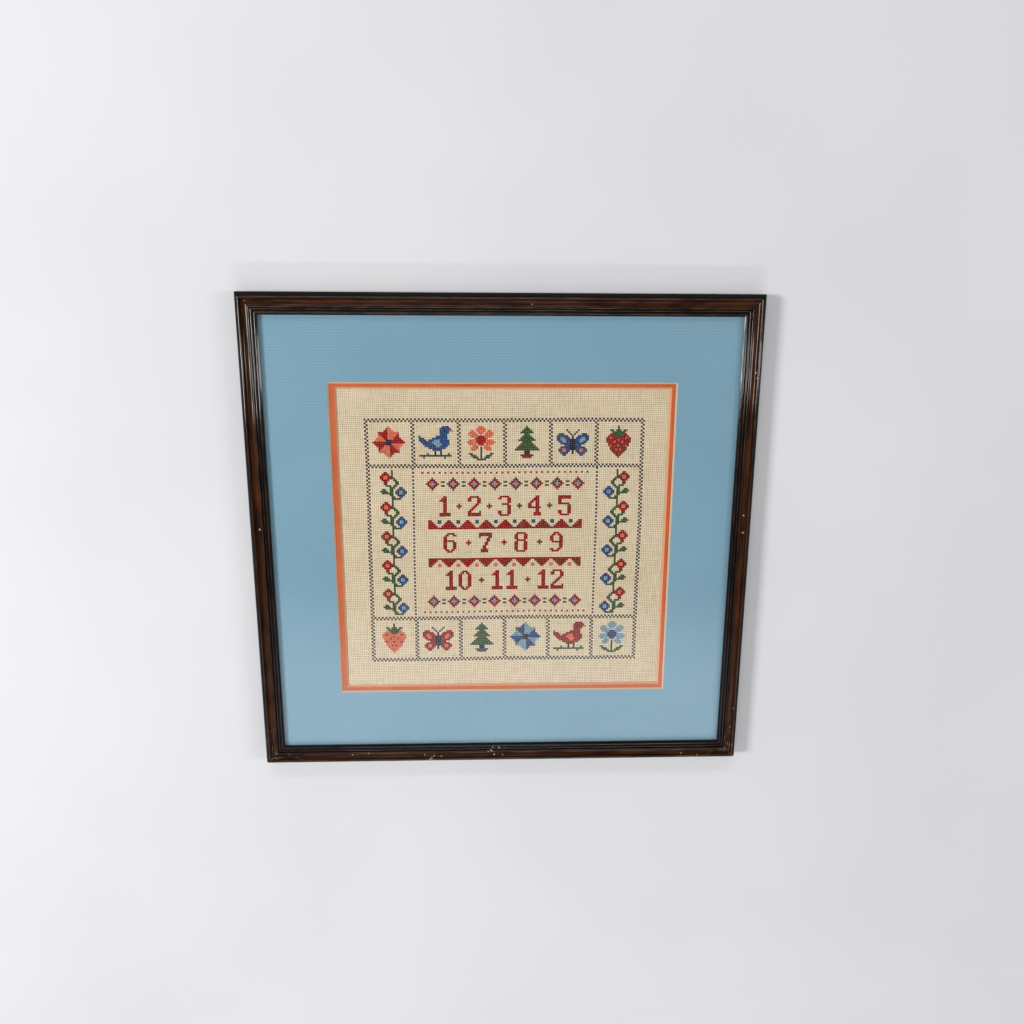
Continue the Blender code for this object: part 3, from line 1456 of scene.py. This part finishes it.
    def stitch(self) -> Stitch:
        """Models one cross stitch from two strands, the second over the first.

        Returns:
            The stitch.
        """
        strand = self.strand()
        points = points_of(strand)
        faces = [tuple(face.vertices) for face in strand.data.polygons]
        laid = np.column_stack([points[:, 0] / self.pitch, points[:, 1] / self.strand_width])
        bpy.data.objects.remove(strand, do_unlink=True)
        both = []
        for turn, lift in zip((math.pi / 4, -math.pi / 4), self.lifts):
            turned = points @ np.array(Matrix.Rotation(turn, 3, "Z")).T
            middle = 1.0 - np.clip(np.abs(points[:, 0]) / (self.pitch * 0.7), 0.0, 1.0)
            turned[:, 2] += self.strand_height * lift * np.sqrt(middle)
            both.append(turned)
        count = len(points)
        faces += [tuple(corner + count for corner in face) for face in faces]
        return Stitch(np.vstack(both), faces, np.vstack([laid, laid]))

    def worked(self, stitch: Stitch, thread: Thread, seed: int) -> bpy.types.Object:
        """Lays a stitch on every square of the chart that has this thread.

        Args:
            stitch: The stitch.
            thread: The thread.
            seed: Fixes the small unevenness of hand work.

        Returns:
            The stitches of this thread, joined.
        """
        points = stitch.points
        rows, columns = np.nonzero(self.chart.cells == thread.letter)
        hand = np.random.default_rng(seed)
        count = len(rows)
        middles = np.column_stack(
            [
                self.left + (columns + 0.5) * self.pitch,
                self.foot + (self.chart.rows - rows - 0.5) * self.pitch,
                np.full(count, self.face),
            ]
        )
        middles[:, :2] += hand.normal(0.0, self.stray * self.pitch, (count, 2))
        turns = hand.normal(0.0, math.radians(self.lean), count)
        plump = hand.normal(1.0, self.swell, count)
        x = points[None, :, 0] * np.cos(turns)[:, None] - points[None, :, 1] * np.sin(turns)[:, None]
        y = points[None, :, 0] * np.sin(turns)[:, None] + points[None, :, 1] * np.cos(turns)[:, None]
        z = points[None, :, 2] * plump[:, None]
        placed = (np.stack([x, y, z], axis=2) + middles[:, None, :]).reshape(-1, 3)
        faces = []
        for first in range(0, count * len(points), len(points)):
            faces += [tuple(corner + first for corner in face) for face in stitch.faces]
        name = "stitches_" + thread.name.lower()
        mesh = bpy.data.meshes.new(name)
        mesh.from_pydata(self.eased(placed), [], faces)
        piece = bpy.data.objects.new(name, mesh)
        bpy.context.scene.collection.objects.link(piece)
        set_map(piece, "strand", np.tile(stitch.laid, (count, 1)))
        set_mark(piece, "dye", np.repeat(hand.random(count), len(points)))
        mesh.shade_smooth()
        mesh.materials.append(Cotton(thread).material())
        return piece

    def build(self) -> bpy.types.Object:
        """Returns:
            The cloth.
        """
        cloth = self.ground()
        stitch = self.stitch()
        stitches = [self.worked(stitch, thread, seed) for seed, thread in enumerate(Thread, start=1)]
        for piece in (cloth, *stitches):
            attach(piece, BODY)
        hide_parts("sampler_cloth")
        return cloth


@dataclass
class Studio:
    """The floor, the lights and the camera."""

    camera_place: Vector = Vector((-15.87, 190.72, 739.69)) * MM
    forward: Vector = Vector((0.03285, -0.21645, -0.97574))
    upward: Vector = Vector((0.00344, 0.97629, -0.21645))
    focal: float = 27.246
    sensor: float = 36.0
    floor_size: float = 8.0
    overhead: float = 0.12
    horizon: float = 0.3
    veil: float = 0.9

    def floor(self) -> None:
        """Lays a wide pale floor under the frame."""
        start_fresh()
        bpy.ops.mesh.primitive_plane_add(size=self.floor_size, location=(0, 0, 0))
        floor = named("studio_floor")
        floor.data.materials.append(PaleFloor().material())
        floor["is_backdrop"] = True

    def camera(self) -> None:
        """Sets the camera at the photograph's angle to the picture's face."""
        data = bpy.data.cameras.new("camera")
        data.lens = self.focal
        data.sensor_width = self.sensor
        camera = bpy.data.objects.new("camera", data)
        back = -self.forward.normalized()
        right = self.upward.cross(back).normalized()
        up = back.cross(right)
        turn = Matrix((right, up, back)).transposed()
        camera.matrix_world = Matrix.Translation(self.camera_place) @ turn.to_4x4()
        bpy.context.scene.collection.objects.link(camera)
        bpy.context.scene.camera = camera

    def lamp(
        self, name: str, place: Vector, size: tuple[float, float], power: float
    ) -> bpy.types.Object:
        """Hangs one soft panel of light that faces the floor's middle.

        Args:
            name: Its name.
            place: Where it hangs.
            size: Its width and height.
            power: Its power in watts.

        Returns:
            The panel.
        """
        data = bpy.data.lights.new(name, "AREA")
        data.shape = "RECTANGLE"
        data.size, data.size_y = size
        data.energy = power
        lamp = bpy.data.objects.new(name, data)
        lamp.location = place
        lamp.rotation_euler = (-place).to_track_quat("-Z", "Y").to_euler()
        bpy.context.scene.collection.objects.link(lamp)
        return lamp

    def lights(self, glass: bpy.types.Object) -> None:
        """Hangs the soft panels and keeps their images out of the glass, as a filter on the lens would.

        Args:
            glass: The pane.
        """
        panels = (
            ("key_panel", (-1.85, 0.15, 1.65), (0.5, 0.5), 50.0),
            ("top_panel", (-0.3, 2.0, 1.5), (1.4, 0.2), 13.5),
            ("side_panel", (1.9, 0.1, 1.6), (0.2, 0.9), 16.0),
            ("foot_panel", (0.1, -1.5, 1.1), (1.1, 0.12), 8.0),
        )
        not_lit = bpy.data.collections.new("not_lit_by_panels")
        not_lit.objects.link(glass)
        not_lit.collection_objects[0].light_linking.link_state = "EXCLUDE"
        for name, place, size, power in panels:
            lamp = self.lamp(name, Vector(place), size, power)
            lamp.light_linking.receiver_collection = not_lit

    def surroundings(self) -> None:
        """Sets the even light all round: dim overhead and pale towards the viewer's feet.

        The glass mirrors it as a soft veil over its lower part.
        """
        world = bpy.data.worlds.new("studio")
        network = Network(world)
        direction = network.node("ShaderNodeTexCoord").outputs["Generated"]
        _, ahead, up = network.split(direction)
        veil = ahead.between(-0.28, -0.42) * up.between(0.55, 0.75)
        low = up.between(0.9, 0.3)
        strength = self.overhead + self.horizon * low + self.veil * veil
        inputs = {"Color": (0.96, 0.965, 0.985), "Strength": strength}
        background = network.node("ShaderNodeBackground", inputs=inputs)
        network.node("ShaderNodeOutputWorld", inputs={"Surface": background.outputs[0]})
        bpy.context.scene.world = world

    def build(self, glass: bpy.types.Object) -> None:
        """Sets up the floor, the camera, the lights and how the picture is developed.

        Args:
            glass: The pane, which mirrors no panel.
        """
        self.floor()
        self.camera()
        self.lights(glass)
        self.surroundings()
        bpy.context.scene.view_settings.view_transform = "Standard"


def finish_solids(outer: MatWindow, inner: MatWindow) -> None:
    """Gives the sheets that keep their solids their finishes.

    Args:
        outer: The outer mat's window.
        inner: The inner mat's window.
    """
    finishes = {
        "glass_pane": PictureGlass().material(),
        "outer_mat": RibbedCard(outer).material(),
        "inner_mat": PlainCard(inner).material(),
        "backing_board": Hardboard().material(),
    }
    for node, material in finishes.items():
        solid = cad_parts[node]
        solid.data.materials.clear()
        solid.data.materials.append(material)


def main() -> None:
    """Builds every piece and reports."""
    logging.basicConfig(level=logging.INFO, format="%(message)s")
    solid_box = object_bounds()
    outer = MatWindow(323.0 * MM, 305.6 * MM, 0.4 * MM, -1.7 * MM)
    inner = MatWindow(312.0 * MM, 296.0 * MM, 1.0 * MM, -1.4 * MM)
    size = solid_box[1] - solid_box[0]
    for rail in Moulding(size.x, size.y).build():
        log.info("%s: %d faces", rail.name, len(rail.data.polygons))
    cloth = Sampler(*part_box("sampler_cloth")).build()
    log.info("%s: %d faces", cloth.name, len(cloth.data.polygons))
    finish_solids(outer, inner)
    log.info("mats, glass and board: finished on their solids")
    Studio().build(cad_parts["glass_pane"])
    log.info("studio: set")


if __name__ == "__main__":
    main()
